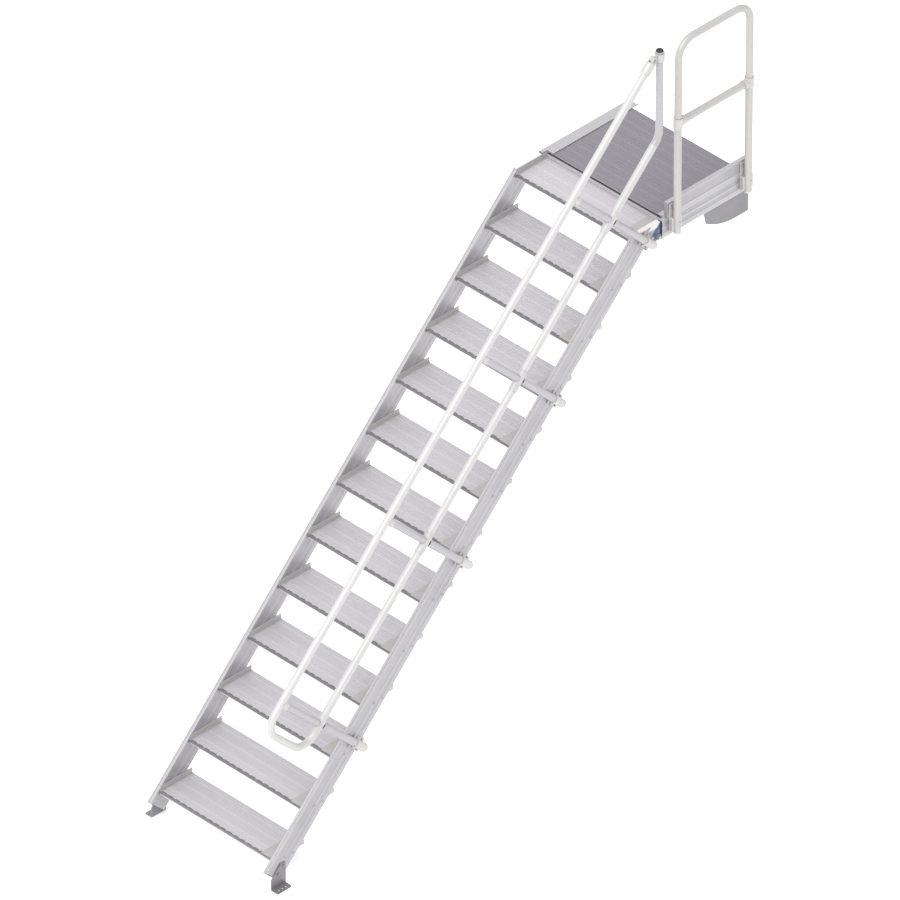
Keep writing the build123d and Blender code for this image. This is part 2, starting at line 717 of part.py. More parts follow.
# Guard rail: one tube bent into a hoop on the outside of the right beam
guard_y = side_y(-1, guard_offset)
guard_back_x = guard_front_x + guard_spacing
guard_foot_z = beam_bottom_z + guard_above_beam_bottom
guard_top_z = beam_top_z + guard_height
guard_knee_z = beam_top_z + guard_knee_height
with BuildPart() as guard_hoop:
    with BuildLine():
        FilletPolyline(
            (guard_front_x, guard_y, guard_foot_z),
            (guard_front_x, guard_y, guard_top_z),
            (guard_back_x, guard_y, guard_top_z),
            (guard_back_x, guard_y, guard_foot_z),
            radius=bend_radius,
        )
    with BuildSketch(Plane((guard_front_x, guard_y, guard_foot_z))):
        Circle(tube_radius)
        Circle(tube_radius - tube_wall, mode=Mode.SUBTRACT)
    sweep()
save(guard_hoop.part, "guard_hoop")

# Guard knee rail: level tube between the two posts
with BuildPart() as guard_knee_rail:
    with BuildSketch(Plane.YZ.offset(guard_front_x + half_joint)):
        with Locations((guard_y, guard_knee_z)):
            Circle(tube_radius)
            Circle(tube_radius - tube_wall, mode=Mode.SUBTRACT)
    extrude(amount=guard_spacing - 2 * half_joint)
save(guard_knee_rail.part, "guard_knee_rail")

# Guard tees: sockets that hold the knee rail on the posts
with BuildPart() as guard_tees:
    for post_x, facing in ((guard_front_x, 1), (guard_back_x, -1)):
        with BuildSketch(Plane((post_x, guard_y, guard_knee_z - tee_height / 2))):
            Circle(half_joint + tee_wall)
        extrude(amount=tee_height)
        with BuildSketch(Plane((post_x, guard_y, guard_knee_z), x_dir=(0, 1, 0), z_dir=(facing, 0, 0))):
            Circle(half_joint + tee_wall)
        extrude(amount=tee_reach)
        with BuildSketch(Plane((post_x, guard_y, guard_knee_z), x_dir=(0, 1, 0), z_dir=(facing, 0, 0))):
            Circle(half_joint)
        extrude(amount=2 * tee_reach, mode=Mode.SUBTRACT)
        with BuildSketch(Plane((post_x, guard_y, guard_knee_z - tee_height))):
            Circle(half_joint)
        extrude(amount=2 * tee_height, mode=Mode.SUBTRACT)
save(guard_tees.part, "guard_tees")

# Guard brackets: a plate on the beam and toe board, with a block that holds each post
plate_foot_z = beam_bottom_z + guard_plate_above_beam_bottom
block_middle_z = plate_foot_z + guard_block_height / 2
pocket_offset = (beam_outer + guard_offset) / 2
with BuildPart() as guard_brackets:
    for post_x in (guard_front_x, guard_back_x):
        with BuildSketch(side_plane(side_y(-1, beam_outer))):
            with Locations((post_x, plate_foot_z + guard_plate_height / 2)):
                RectangleRounded(guard_plate_width, guard_plate_height, foot_corner_radius)
        extrude(amount=guard_plate_thickness)
        with BuildSketch(side_plane(side_y(-1, beam_outer))):
            with Locations((post_x, block_middle_z)):
                RectangleRounded(guard_plate_width, guard_block_height, guard_block_rounding)
        extrude(amount=guard_offset - beam_outer)
        with BuildSketch(Plane((post_x, guard_y, plate_foot_z))):
            Circle(half_joint)
        extrude(amount=guard_plate_height, mode=Mode.SUBTRACT)
        for start_x in (
            post_x - guard_plate_width / 2, post_x + guard_plate_width / 2 - guard_pocket_depth
        ):
            with BuildSketch(Plane.YZ.offset(start_x)):
                with Locations((side_y(-1, pocket_offset), block_middle_z)):
                    SlotOverall(guard_pocket_height, guard_pocket_width, rotation=90)
            extrude(amount=guard_pocket_depth, mode=Mode.SUBTRACT)
save(guard_brackets.part, "guard_brackets")

# Caps that close the open tube ends
with BuildPart() as riser_cap:
    with BuildSketch(Plane((riser_x, rail_y, riser_top_z))):
        Circle(tube_radius)
    extrude(amount=cap_thickness)
    fillet(riser_cap.edges().sort_by(Axis.Z)[-1:], radius=cap_rounding)
save(riser_cap.part, "riser_cap")

with BuildPart() as post_caps:
    for distance in post_positions:
        with BuildSketch(Plane(slope_point(distance, post_foot_n, rail_y), z_dir=normal * -1)):
            Circle(tube_radius)
        extrude(amount=cap_thickness)
    for post_x in (guard_front_x, guard_back_x):
        with BuildSketch(Plane((post_x, guard_y, guard_foot_z), z_dir=(0, 0, -1))):
            Circle(tube_radius)
        extrude(amount=cap_thickness)
save(post_caps.part, "post_caps")
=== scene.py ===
from math import atan, cos, pi, radians, sin

import bpy
from mathutils import Matrix, Vector


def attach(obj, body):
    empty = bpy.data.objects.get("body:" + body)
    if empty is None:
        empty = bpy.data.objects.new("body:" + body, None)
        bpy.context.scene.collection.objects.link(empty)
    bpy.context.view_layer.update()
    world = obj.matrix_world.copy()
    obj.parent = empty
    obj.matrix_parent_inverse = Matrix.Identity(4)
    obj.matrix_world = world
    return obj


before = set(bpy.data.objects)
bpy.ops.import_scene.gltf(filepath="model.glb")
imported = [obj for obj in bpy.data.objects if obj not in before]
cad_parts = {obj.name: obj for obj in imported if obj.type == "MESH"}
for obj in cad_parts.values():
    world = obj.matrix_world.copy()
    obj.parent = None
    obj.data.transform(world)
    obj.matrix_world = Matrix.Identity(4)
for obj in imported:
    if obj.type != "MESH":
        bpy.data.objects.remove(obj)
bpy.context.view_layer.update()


# The studio: a wide pale floor, strong even light from all round, so that the floor
# stays white, and one large soft lamp high on the left. The floor is lit a little from below.
pure_white = (1.0, 1.0, 1.0, 1.0)
floor_size = 60.0
floor_glow = 0.16
room_light = 1.03
bpy.ops.object.select_all(action="DESELECT")
bpy.ops.mesh.primitive_plane_add(size=floor_size, location=(0.0, 0.0, 0.0))
floor = bpy.context.object
floor.name = "studio_floor"
floor_paint = bpy.data.materials.new("pale floor paint")
floor_paint.use_nodes = True
floor_shader = floor_paint.node_tree.nodes["Principled BSDF"]
floor_shader.inputs["Base Color"].default_value = pure_white
floor_shader.inputs["Roughness"].default_value = 0.9
floor_shader.inputs["Specular IOR Level"].default_value = 0.0
floor_shader.inputs["Emission Color"].default_value = pure_white
floor_shader.inputs["Emission Strength"].default_value = floor_glow
floor.data.materials.append(floor_paint)

world = bpy.data.worlds.new("even studio light")
world.use_nodes = True
world.node_tree.nodes["Background"].inputs["Color"].default_value = pure_white
world.node_tree.nodes["Background"].inputs["Strength"].default_value = room_light
bpy.context.scene.world = world
bpy.context.scene.view_settings.view_transform = "Standard"


def direction(turn, lift):
    """Where something stands, seen from the stair: its turn round Z from the front and its lift."""
    return Vector((sin(turn) * cos(lift), -cos(turn) * cos(lift), sin(lift)))


# The camera stands far off, so that upright and parallel lines stay parallel as in the photograph.
aim = Vector((1.654, 0.456, 1.631))
camera_turn = radians(-45.0)
camera_lift = radians(36.0)
camera_distance = 100.0
camera_right = Vector((cos(camera_turn), sin(camera_turn), 0.0))
camera_back = direction(camera_turn, camera_lift)
camera_up = camera_back.cross(camera_right)
bpy.ops.object.camera_add(location=aim + camera_back * camera_distance)
camera = bpy.context.object
camera.name = "studio camera"
camera.rotation_euler = Matrix((camera_right, camera_up, camera_back)).transposed().to_euler()
camera.data.sensor_width = 36.0
camera.data.lens = 800.0
camera.data.clip_start = 1.0
camera.data.clip_end = 1000.0
bpy.context.scene.camera = camera

lamp_turn = radians(-80.0)
lamp_lift = radians(50.0)
lamp_distance = 9.0
lamp_back = direction(lamp_turn, lamp_lift)
bpy.ops.object.light_add(type="SUN", location=aim + lamp_back * lamp_distance)
key_lamp = bpy.context.object
key_lamp.name = "large soft lamp"
key_lamp.rotation_euler = lamp_back.to_track_quat("Z", "Y").to_euler()
key_lamp.data.energy = 2.2
key_lamp.data.angle = radians(50.0)


# Stringers: two deep hollow aluminium extrusions that carry the treads. Mill finish,
# with the long fine lines that the die leaves, a brighter bead along each edge and a painted highlight on
# the faces that look up.
rise = 0.21
going = 0.21
pitch = atan(rise / going)
mid_y = 0.456
stringer_middle = 0.4125
stringer_panel = 0.0120


def effect_group(name, inputs, outputs):
    """A shader node group with named sockets, and the nodes at its two ends."""
    group = bpy.data.node_groups.new(name, "ShaderNodeTree")
    for label, kind, value in inputs:
        socket = group.interface.new_socket(name=label, in_out="INPUT", socket_type=kind)
        if value is not None:
            socket.default_value = value
    for label, kind in outputs:
        group.interface.new_socket(name=label, in_out="OUTPUT", socket_type=kind)
    return group, group.nodes.new("NodeGroupInput").outputs, group.nodes.new("NodeGroupOutput").inputs


def add_node(tree, kind, inputs=(), **settings):
    """Add a node with its settings; an input given as a socket is wired, else it is set."""
    node = tree.nodes.new(kind)
    for key, value in settings.items():
        setattr(node, key, value)
    for key, value in dict(inputs).items():
        if isinstance(value, bpy.types.NodeSocket):
            tree.links.new(value, node.inputs[key])
        else:
            node.inputs[key].default_value = value
    return node


def reckon(tree, operation, *values, **settings):
    """The result of a Math node on its values or sockets."""
    inputs = dict(enumerate(values))
    return add_node(tree, "ShaderNodeMath", inputs, operation=operation, **settings).outputs[0]


# Long fine lines that lie along X of the coordinates that come in.
drawn_lines, given, sent = effect_group(
    "drawn lines",
    (("Vector", "NodeSocketVector", None), ("Fineness", "NodeSocketFloat", 160.0),
     ("Length", "NodeSocketFloat", 1.2)),
    (("Lines", "NodeSocketFloat"), ("Bands", "NodeSocketFloat")),
)
stretch = add_node(drawn_lines, "ShaderNodeCombineXYZ",
                   {"X": given["Length"], "Y": given["Fineness"], "Z": given["Fineness"]})
stretched = add_node(drawn_lines, "ShaderNodeVectorMath",
                     {0: given["Vector"], 1: stretch.outputs[0]}, operation="MULTIPLY")
fine = add_node(drawn_lines, "ShaderNodeTexNoise",
                {"Vector": stretched.outputs[0], "Scale": 1.0, "Detail": 4.0, "Roughness": 0.6})
wide = add_node(drawn_lines, "ShaderNodeTexNoise",
                {"Vector": stretched.outputs[0], "Scale": 0.22, "Detail": 2.0, "Roughness": 0.5})
drawn_lines.links.new(fine.outputs["Fac"], sent["Lines"])
drawn_lines.links.new(wide.outputs["Fac"], sent["Bands"])

# Cloudy marks from handling, storage and weather, and the fine specks of the skin.
handling_marks, given, sent = effect_group(
    "handling marks",
    (("Vector", "NodeSocketVector", None), ("Size", "NodeSocketFloat", 5.0)),
    (("Mask", "NodeSocketFloat"), ("Specks", "NodeSocketFloat")),
)
clouds = add_node(handling_marks, "ShaderNodeTexNoise",
                  {"Vector": given["Vector"], "Scale": given["Size"], "Detail": 5.0, "Roughness": 0.62})
cloud_mask = add_node(handling_marks, "ShaderNodeMapRange",
                      {"Value": clouds.outputs["Fac"], "From Min": 0.45, "From Max": 0.72})
specks = add_node(handling_marks, "ShaderNodeTexNoise",
                  {"Vector": given["Vector"], "Scale": 420.0, "Detail": 2.0, "Roughness": 0.7})
handling_marks.links.new(cloud_mask.outputs["Result"], sent["Mask"])
handling_marks.links.new(specks.outputs["Fac"], sent["Specks"])

# Worn outer edges, found where the rounded surface turns away from the flat one.
worn_edges, given, sent = effect_group(
    "worn edges",
    (("Radius", "NodeSocketFloat", 0.002), ("Strength", "NodeSocketFloat", 3.0)),
    (("Mask", "NodeSocketFloat"), ("Normal", "NodeSocketVector")),
)
rounded = add_node(worn_edges, "ShaderNodeBevel", {"Radius": given["Radius"]}, samples=4)
true_face = add_node(worn_edges, "ShaderNodeNewGeometry")
likeness = add_node(worn_edges, "ShaderNodeVectorMath",
                    {0: rounded.outputs["Normal"], 1: true_face.outputs["Normal"]}, operation="DOT_PRODUCT")
turned_away = reckon(worn_edges, "SUBTRACT", 1.0, likeness.outputs["Value"])
edge_mask = reckon(worn_edges, "MULTIPLY", turned_away, given["Strength"], use_clamp=True)
worn_edges.links.new(edge_mask, sent["Mask"])
worn_edges.links.new(rounded.outputs["Normal"], sent["Normal"])

# The beads of an upright profile stand proud of its panels: they lie farther from the
# middle of the profile's wall, on both sides of the stair, and are laid half bright. Faces that look up get
# the full bright colour as a painted highlight, for the light that falls on them from above.
bead_strength = 0.5
upward = 0.5
beads_and_painted_highlight, given, sent = effect_group(
    "beads and painted highlight",
    (("Vector", "NodeSocketVector", None), ("Stair Middle", "NodeSocketFloat", mid_y),
     ("Profile Middle", "NodeSocketFloat", 0.4), ("Panel Face", "NodeSocketFloat", 0.012)),
    (("Mask", "NodeSocketFloat"),),
)
sides = add_node(beads_and_painted_highlight, "ShaderNodeSeparateXYZ", {"Vector": given["Vector"]})
across = reckon(beads_and_painted_highlight, "SUBTRACT", sides.outputs["Y"], given["Stair Middle"])
outward = reckon(beads_and_painted_highlight, "ABSOLUTE", across)
off_middle = reckon(beads_and_painted_highlight, "SUBTRACT", outward, given["Profile Middle"])
off_wall = reckon(beads_and_painted_highlight, "ABSOLUTE", off_middle)
on_bead = reckon(beads_and_painted_highlight, "GREATER_THAN", off_wall, given["Panel Face"])
half_bright = reckon(beads_and_painted_highlight, "MULTIPLY", on_bead, bead_strength)
face = add_node(beads_and_painted_highlight, "ShaderNodeNewGeometry")
facing = add_node(beads_and_painted_highlight, "ShaderNodeSeparateXYZ", {"Vector": face.outputs["True Normal"]})
# Painted highlight: faces that look up are made brightest.
painted_top_highlight = reckon(beads_and_painted_highlight, "GREATER_THAN", facing.outputs["Z"], upward)
brighter = reckon(beads_and_painted_highlight, "MAXIMUM", half_bright, painted_top_highlight)
beads_and_painted_highlight.links.new(brighter, sent["Mask"])

# Light bands that lie across each plank of a row of planks, where the ribs stand proud.
band_strength = 0.5
plank_bands, given, sent = effect_group(
    "plank bands",
    (("Vector", "NodeSocketVector", None), ("First Plank", "NodeSocketFloat", 0.0),
     ("Plank Pitch", "NodeSocketFloat", 0.2), ("First Band", "NodeSocketFloat", 0.05),
     ("Band Pitch", "NodeSocketFloat", 0.07), ("Band Width", "NodeSocketFloat", 0.007)),
    (("Mask", "NodeSocketFloat"),),
)
sides = add_node(plank_bands, "ShaderNodeSeparateXYZ", {"Vector": given["Vector"]})
from_first = reckon(plank_bands, "SUBTRACT", sides.outputs["X"], given["First Plank"])
in_plank = reckon(plank_bands, "MODULO", from_first, given["Plank Pitch"])
from_band = reckon(plank_bands, "SUBTRACT", in_plank, given["First Band"])
half_pitch = reckon(plank_bands, "MULTIPLY", given["Band Pitch"], 0.5)
half_band = reckon(plank_bands, "MULTIPLY", given["Band Width"], 0.5)
to_band = reckon(plank_bands, "PINGPONG", from_band, half_pitch)
band_mask = add_node(plank_bands, "ShaderNodeMapRange",
                     {"Value": to_band, "From Min": half_band, "From Max": given["Band Width"],
                      "To Min": band_strength, "To Max": 0.0})
plank_bands.links.new(band_mask.outputs[0], sent["Mask"])


def laid_over(tree, mask, under, over):
    """The colour under, with the colour over laid on it where the mask says."""
    mix = add_node(tree, "ShaderNodeMix", {"Factor": mask, "A": under, "B": over}, data_type="RGBA")
    return mix.outputs["Result"]


def metal_finish(name, plain, dull, bright, turn=(0.0, 0.0, 0.0), fineness=160.0, line_share=0.5,
                 mark_share=0.35, metallic=0.6, roughness=0.42, relief=0.0002, edge=0.002,
                 bands=None, beads=None):
    """Metal with drawn lines along the turned X axis, cloudy marks and brighter edges."""
    faintest_line = 0.7
    strongest_line = 1.3
    marked_roughness = roughness + 0.14
    material = bpy.data.materials.new(name)
    material.use_nodes = True
    tree = material.node_tree
    shader = tree.nodes["Principled BSDF"]
    shader.inputs["Metallic"].default_value = metallic
    place = add_node(tree, "ShaderNodeTexCoord")
    turned = add_node(tree, "ShaderNodeMapping", {"Vector": place.outputs["Object"], "Rotation": turn})
    lines = add_node(tree, "ShaderNodeGroup",
                     {"Vector": turned.outputs[0], "Fineness": fineness}, node_tree=drawn_lines)
    marks = add_node(tree, "ShaderNodeGroup", {"Vector": turned.outputs[0]}, node_tree=handling_marks)
    wear = add_node(tree, "ShaderNodeGroup", {"Radius": edge}, node_tree=worn_edges)
    line_value = reckon(tree, "ADD", lines.outputs["Lines"], lines.outputs["Bands"])
    line_mask = add_node(tree, "ShaderNodeMapRange",
                         {"Value": line_value, "From Min": faintest_line, "From Max": strongest_line,
                          "To Max": line_share})
    mark_mask = reckon(tree, "MULTIPLY", marks.outputs["Mask"], mark_share)
    colour = laid_over(tree, line_mask.outputs[0], (*plain, 1.0), (*dull, 1.0))
    colour = laid_over(tree, mark_mask, colour, (*dull, 1.0))
    colour = laid_over(tree, wear.outputs["Mask"], colour, (*bright, 1.0))
    # Bands or beads are laid in the bright colour; the beads group also paints a highlight on faces that
    # look up.
    if bands or beads:
        raised = add_node(tree, "ShaderNodeGroup", {"Vector": place.outputs["Object"], **(bands or beads)},
                          node_tree=plank_bands if bands else beads_and_painted_highlight)
        colour = laid_over(tree, raised.outputs["Mask"], colour, (*bright, 1.0))
    tree.links.new(colour, shader.inputs["Base Color"])
    gloss = add_node(tree, "ShaderNodeMapRange",
                     {"Value": marks.outputs["Mask"], "To Min": roughness, "To Max": marked_roughness})
    tree.links.new(gloss.outputs[0], shader.inputs["Roughness"])
    height = reckon(tree, "ADD", lines.outputs["Lines"], marks.outputs["Specks"])
    bump = add_node(tree, "ShaderNodeBump",
                    {"Height": height, "Strength": 0.35, "Distance": relief,
                     "Normal": wear.outputs["Normal"]})
    tree.links.new(bump.outputs[0], shader.inputs["Normal"])
    return material


def dress(names, material):
    """Give frame nodes a finish."""
    for name in names:
        node = bpy.data.objects[name]
        for slot in node.material_slots:
            slot.material = material
        if not node.material_slots:
            node.data.materials.append(material)


mill_skin = {"fineness": 120.0, "line_share": 0.55, "mark_share": 0.4}
stringer_metal = metal_finish(
    "stringer aluminium",
    plain=(0.37, 0.363, 0.38), dull=(0.338, 0.331, 0.348), bright=(0.43, 0.422, 0.437),
    turn=(0.0, pitch, 0.0), beads={"Profile Middle": stringer_middle, "Panel Face": stringer_panel},
    **mill_skin,
)
dress(("stringer_left", "stringer_right"), stringer_metal)


# Caps, all pressed into or over the ends of the extrusions: pale moulded plastic with a fine
# skin on the level cut at the head of the stringers and in the posts, black moulded
# plastic on the square cut at the foot of the stringers.
def plastic_finish(name, plain, dull, roughness=0.5):
    """Moulded plastic with a fine skin and faint cloudy marks."""
    cloud_size = 26.0
    skin_depth = 0.0001
    marked_roughness = roughness + 0.15
    material = bpy.data.materials.new(name)
    material.use_nodes = True
    tree = material.node_tree
    shader = tree.nodes["Principled BSDF"]
    place = add_node(tree, "ShaderNodeTexCoord")
    marks = add_node(tree, "ShaderNodeGroup",
                     {"Vector": place.outputs["Object"], "Size": cloud_size}, node_tree=handling_marks)
    colour = laid_over(tree, marks.outputs["Mask"], (*plain, 1.0), (*dull, 1.0))
    tree.links.new(colour, shader.inputs["Base Color"])
    gloss = add_node(tree, "ShaderNodeMapRange",
                     {"Value": marks.outputs["Mask"], "To Min": roughness, "To Max": marked_roughness})
    tree.links.new(gloss.outputs[0], shader.inputs["Roughness"])
    wear = add_node(tree, "ShaderNodeGroup", node_tree=worn_edges)
    bump = add_node(tree, "ShaderNodeBump",
                    {"Height": marks.outputs["Specks"], "Strength": 0.3, "Distance": skin_depth,
                     "Normal": wear.outputs["Normal"]})
    tree.links.new(bump.outputs[0], shader.inputs["Normal"])
    return material


pale_plastic = plastic_finish("pale moulded plastic", plain=(0.66, 0.65, 0.63), dull=(0.61, 0.60, 0.585))
black_plastic = plastic_finish("black moulded plastic", plain=(0.015, 0.015, 0.016), dull=(0.03, 0.03, 0.03))
dress(("stringer_caps", "post_caps"), pale_plastic)
dress(("stringer_end_caps",), black_plastic)


# Glide strips under the head of the stringers: blue sliding plastic, sawn to length
# and laid against the underside of the extrusions.
blue_plastic = plastic_finish(
    "blue sliding plastic", plain=(0.035, 0.085, 0.27), dull=(0.05, 0.11, 0.32), roughness=0.45,
)
dress(("glide_strips",), blue_plastic)


# Treads: ribbed hollow aluminium planks that slide into a shoe at each end. The die lines
# and the worn film run across the stair, along each plank.
tread_count = 13
tread_bands = {
    "First Plank": 0.0, "Plank Pitch": going, "First Band": 0.056, "Band Pitch": 0.068, "Band Width": 0.007,
}
plank_skin = {"turn": (0.0, 0.0, pi / 2), "fineness": 55.0, "line_share": 0.5, "edge": 0.0006}
tread_metal = metal_finish(
    "tread aluminium",
    plain=(0.53, 0.515, 0.543), dull=(0.487, 0.473, 0.50), bright=(0.60, 0.585, 0.613),
    mark_share=0.4, metallic=0.35, bands=tread_bands, **plank_skin,
)
tread_names = tuple(f"tread_{step + 1:02d}" for step in range(tread_count))
dress(tread_names, tread_metal)


# Nosings: dark grey toothed strips folded over the front edge of the treads. Hard rubber,
# pressed on; the teeth point back over the ribs so that a boot grips the edge.
first_rise = 0.165
tread_length = 0.794
nosing_front = -0.0015
nosing_back = 0.0055
nosing_top = 0.0008
nosing_foot = -0.0125
nosing_thickness = 0.0012
tooth_pitch = 0.0467
tooth_length = 0.0045
half_tooth = 0.3
nosing_rubber = plastic_finish(
    "dark grey nosing rubber", plain=(0.135, 0.13, 0.14), dull=(0.16, 0.155, 0.165), roughness=0.62,
)


def settle(piece):
    """Put the piece's place into its mesh, so that its object sits at the origin."""
    bpy.ops.object.select_all(action="DESELECT")
    piece.select_set(True)
    bpy.context.view_layer.objects.active = piece
    bpy.ops.object.transform_apply(location=True, rotation=True, scale=True)


def block(name, size, middle):
    """A rectangular block of the given size, with its place in its mesh."""
    bpy.ops.object.select_all(action="DESELECT")
    bpy.ops.mesh.primitive_cube_add(size=1.0, location=middle)
    piece = bpy.context.object
    piece.name = name
    piece.scale = size
    settle(piece)
    return piece


def pick(piece, kind, chosen):
    """Go into edit mode with only those faces or edges selected that chosen says yes to."""
    bpy.ops.object.mode_set(mode="EDIT")
    bpy.ops.mesh.select_mode(type=kind)
    bpy.ops.mesh.select_all(action="DESELECT")
    bpy.ops.object.mode_set(mode="OBJECT")
    for part in piece.data.polygons if kind == "FACE" else piece.data.edges:
        part.select = chosen(part)
    bpy.ops.object.mode_set(mode="EDIT")


def finish_piece(piece, material):
    """Give a finished piece its material and let it ride on the stair."""
    piece.data.materials.clear()
    piece.data.materials.append(material)
    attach(piece, "root")


def set_out(name, original, places, material):
    """Copy a piece to its places, each copy with its own mesh, and finish them as one piece."""
    copies = []
    for place in places:
        copy = bpy.data.objects.new(name, original.data.copy())
        bpy.context.collection.objects.link(copy)
        copy.data.transform(place)
        copies.append(copy)
    bpy.data.objects.remove(original, do_unlink=True)
    bpy.ops.object.select_all(action="DESELECT")
    for copy in copies:
        copy.select_set(True)
    bpy.context.view_layer.objects.active = copies[0]
    if len(copies) > 1:
        bpy.ops.object.join()
    joined = bpy.context.object
    joined.name = name
    finish_piece(joined, material)


def under_front(face):
    """Whether a face of the flat strip looks down and lies in front of the tread."""
    return face.normal.z < -0.9 and face.center.x < nosing_front + nosing_thickness


def at_tooth(face):
    """Whether a face of the strip's back edge is one that a tooth grows from."""
    tooth_place = face.center.y / tooth_pitch
    at_back = face.normal.x > 0.9 and face.center.x > nosing_back - nosing_thickness / 2
    return at_back and abs(tooth_place - round(tooth_place)) < half_tooth


strip = block(
    "tread_nosing",
    (nosing_back - nosing_front, tread_length, nosing_thickness),
    ((nosing_front + nosing_back) / 2, 0.0, nosing_top - nosing_thickness / 2),
)
bpy.ops.object.mode_set(mode="EDIT")
bpy.ops.mesh.select_all(action="SELECT")
bpy.ops.mesh.bisect(plane_co=(nosing_front + nosing_thickness, 0.0, 0.0), plane_no=(1.0, 0.0, 0.0))
pick(strip, "FACE", under_front)
bpy.ops.mesh.extrude_region_move(TRANSFORM_OT_translate={
    "value": (0.0, 0.0, nosing_foot - nosing_top + nosing_thickness),
})
teeth_each_side = int(tread_length / tooth_pitch / 2)
for tooth in range(-teeth_each_side, teeth_each_side + 1):
    for tooth_edge in (-half_tooth, half_tooth):
        cut_y = (tooth + tooth_edge) * tooth_pitch
        bpy.ops.mesh.select_all(action="SELECT")
        bpy.ops.mesh.bisect(plane_co=(0.0, cut_y, 0.0), plane_no=(0.0, 1.0, 0.0))
pick(strip, "FACE", at_tooth)
bpy.ops.mesh.extrude_region_move(TRANSFORM_OT_translate={"value": (tooth_length, 0.0, 0.0)})
bpy.ops.object.mode_set(mode="OBJECT")
nosing_places = [
    Matrix.Translation((going * step, mid_y, first_rise + rise * step)) for step in range(tread_count)
]
set_out("tread_nosings", strip, nosing_places, nosing_rubber)


# Tread shoes: folded aluminium plates that hold the ends of the treads, warm grey
# and matt, fixed to the stringers with screws whose heads show on the outer faces.
shoe_metal = metal_finish(
    "tread shoe aluminium",
    plain=(0.475, 0.465, 0.455), dull=(0.43, 0.42, 0.41), bright=(0.54, 0.53, 0.52),
    fineness=200.0, metallic=0.45, roughness=0.55,
)
dress(("tread_shoes_left", "tread_shoes_right"), shoe_metal)

stringer_outer = 0.425
shoe_screw_back = (0.065, 0.123)
shoe_screw_drop = 0.011


def rimmed_disc(radius, height, corners, rim, rim_steps):
    """A disc that stands on its XY plane, with its upper rim bevelled."""
    bpy.ops.object.select_all(action="DESELECT")
    bpy.ops.mesh.primitive_cylinder_add(
        vertices=corners, radius=radius, depth=height, location=(0.0, 0.0, height / 2),
    )
    disc = bpy.context.object
    settle(disc)
    points = disc.data.vertices
    pick(disc, "EDGE", lambda edge: all(points[end].co.z > height / 2 for end in edge.vertices))
    bpy.ops.mesh.bevel(offset=rim, segments=rim_steps, affect="EDGES")
    bpy.ops.object.mode_set(mode="OBJECT")
    return disc


def button_head():
    """A button head screw that stands on its XY plane, with a round socket in its top."""
    head_radius = 0.0065
    head_height = 0.0028
    socket_radius = 0.0028
    socket_depth = 0.0018
    rim = head_height * 0.7
    screw = rimmed_disc(head_radius, head_height, corners=18, rim=rim, rim_steps=2)
    pick(screw, "FACE", lambda face: face.normal.z > 0.99)
    bpy.ops.mesh.inset(thickness=head_radius - rim - socket_radius)
    bpy.ops.mesh.extrude_region_move(TRANSFORM_OT_translate={"value": (0.0, 0.0, -socket_depth)})
    bpy.ops.object.mode_set(mode="OBJECT")
    bpy.ops.object.shade_smooth_by_angle(angle=radians(35.0))
    return screw


def facing_side(x, y, z, side):
    """Place a fixing on an upright face that looks along Y, side +1 or -1."""
    return Matrix.Translation((x, y, z)) @ Matrix.Rotation(-side * pi / 2, 4, "X")


shoe_screw_places = [
    facing_side(
        going * step + back, mid_y + side * stringer_outer, first_rise + rise * step - shoe_screw_drop, side,
    )
    for step in range(tread_count) for back in shoe_screw_back for side in (1, -1)
]
set_out("shoe_screws", button_head(), shoe_screw_places, stringer_metal)


# Feet: dark zinc plated angle brackets, folded from plate and bolted to the outer faces
# of the stringers, with a row of holes for floor anchors.
bracket_zinc = metal_finish(
    "dark zinc plate",
    plain=(0.235, 0.23, 0.242), dull=(0.205, 0.20, 0.212), bright=(0.31, 0.305, 0.32),
    fineness=60.0, line_share=0.25, mark_share=0.7, metallic=0.55, roughness=0.48,
)
dress(("foot_left", "foot_right"), bracket_zinc)

foot_face = 0.430
foot_bolt_spots = ((0.047, 0.117), (0.012, 0.082))


def hex_bolt(across_flats, head_height, washer_radius, washer_height=0.0015):
    """A hexagon head with a chamfered crown on a round washer, standing on its XY plane."""
    corner_over_flat = 1.1547
    chamfer = head_height * 0.2
    crown_height = head_height * 0.14
    washer = rimmed_disc(washer_radius, washer_height, corners=24, rim=washer_height * 0.3, rim_steps=1)
    bpy.ops.object.select_all(action="DESELECT")
    bpy.ops.mesh.primitive_cylinder_add(
        vertices=6, radius=across_flats / 2 * corner_over_flat, depth=head_height,
        location=(0.0, 0.0, washer_height + head_height / 2),
    )
    head = bpy.context.object
    settle(head)
    pick(head, "FACE", lambda face: face.normal.z > 0.9)
    bpy.ops.mesh.inset(thickness=chamfer)
    bpy.ops.mesh.extrude_region_move(TRANSFORM_OT_translate={"value": (0.0, 0.0, crown_height)})
    bpy.ops.object.mode_set(mode="OBJECT")
    washer.select_set(True)
    bpy.context.view_layer.objects.active = washer
    bpy.ops.object.join()
    return bpy.context.object


foot_bolt_places = [
    facing_side(x, mid_y + side * foot_face, z, side) for x, z in foot_bolt_spots for side in (1, -1)
]
foot_bolt = hex_bolt(across_flats=0.013, head_height=0.0053, washer_radius=0.010)
set_out("foot_bolts", foot_bolt, foot_bolt_places, bracket_zinc)


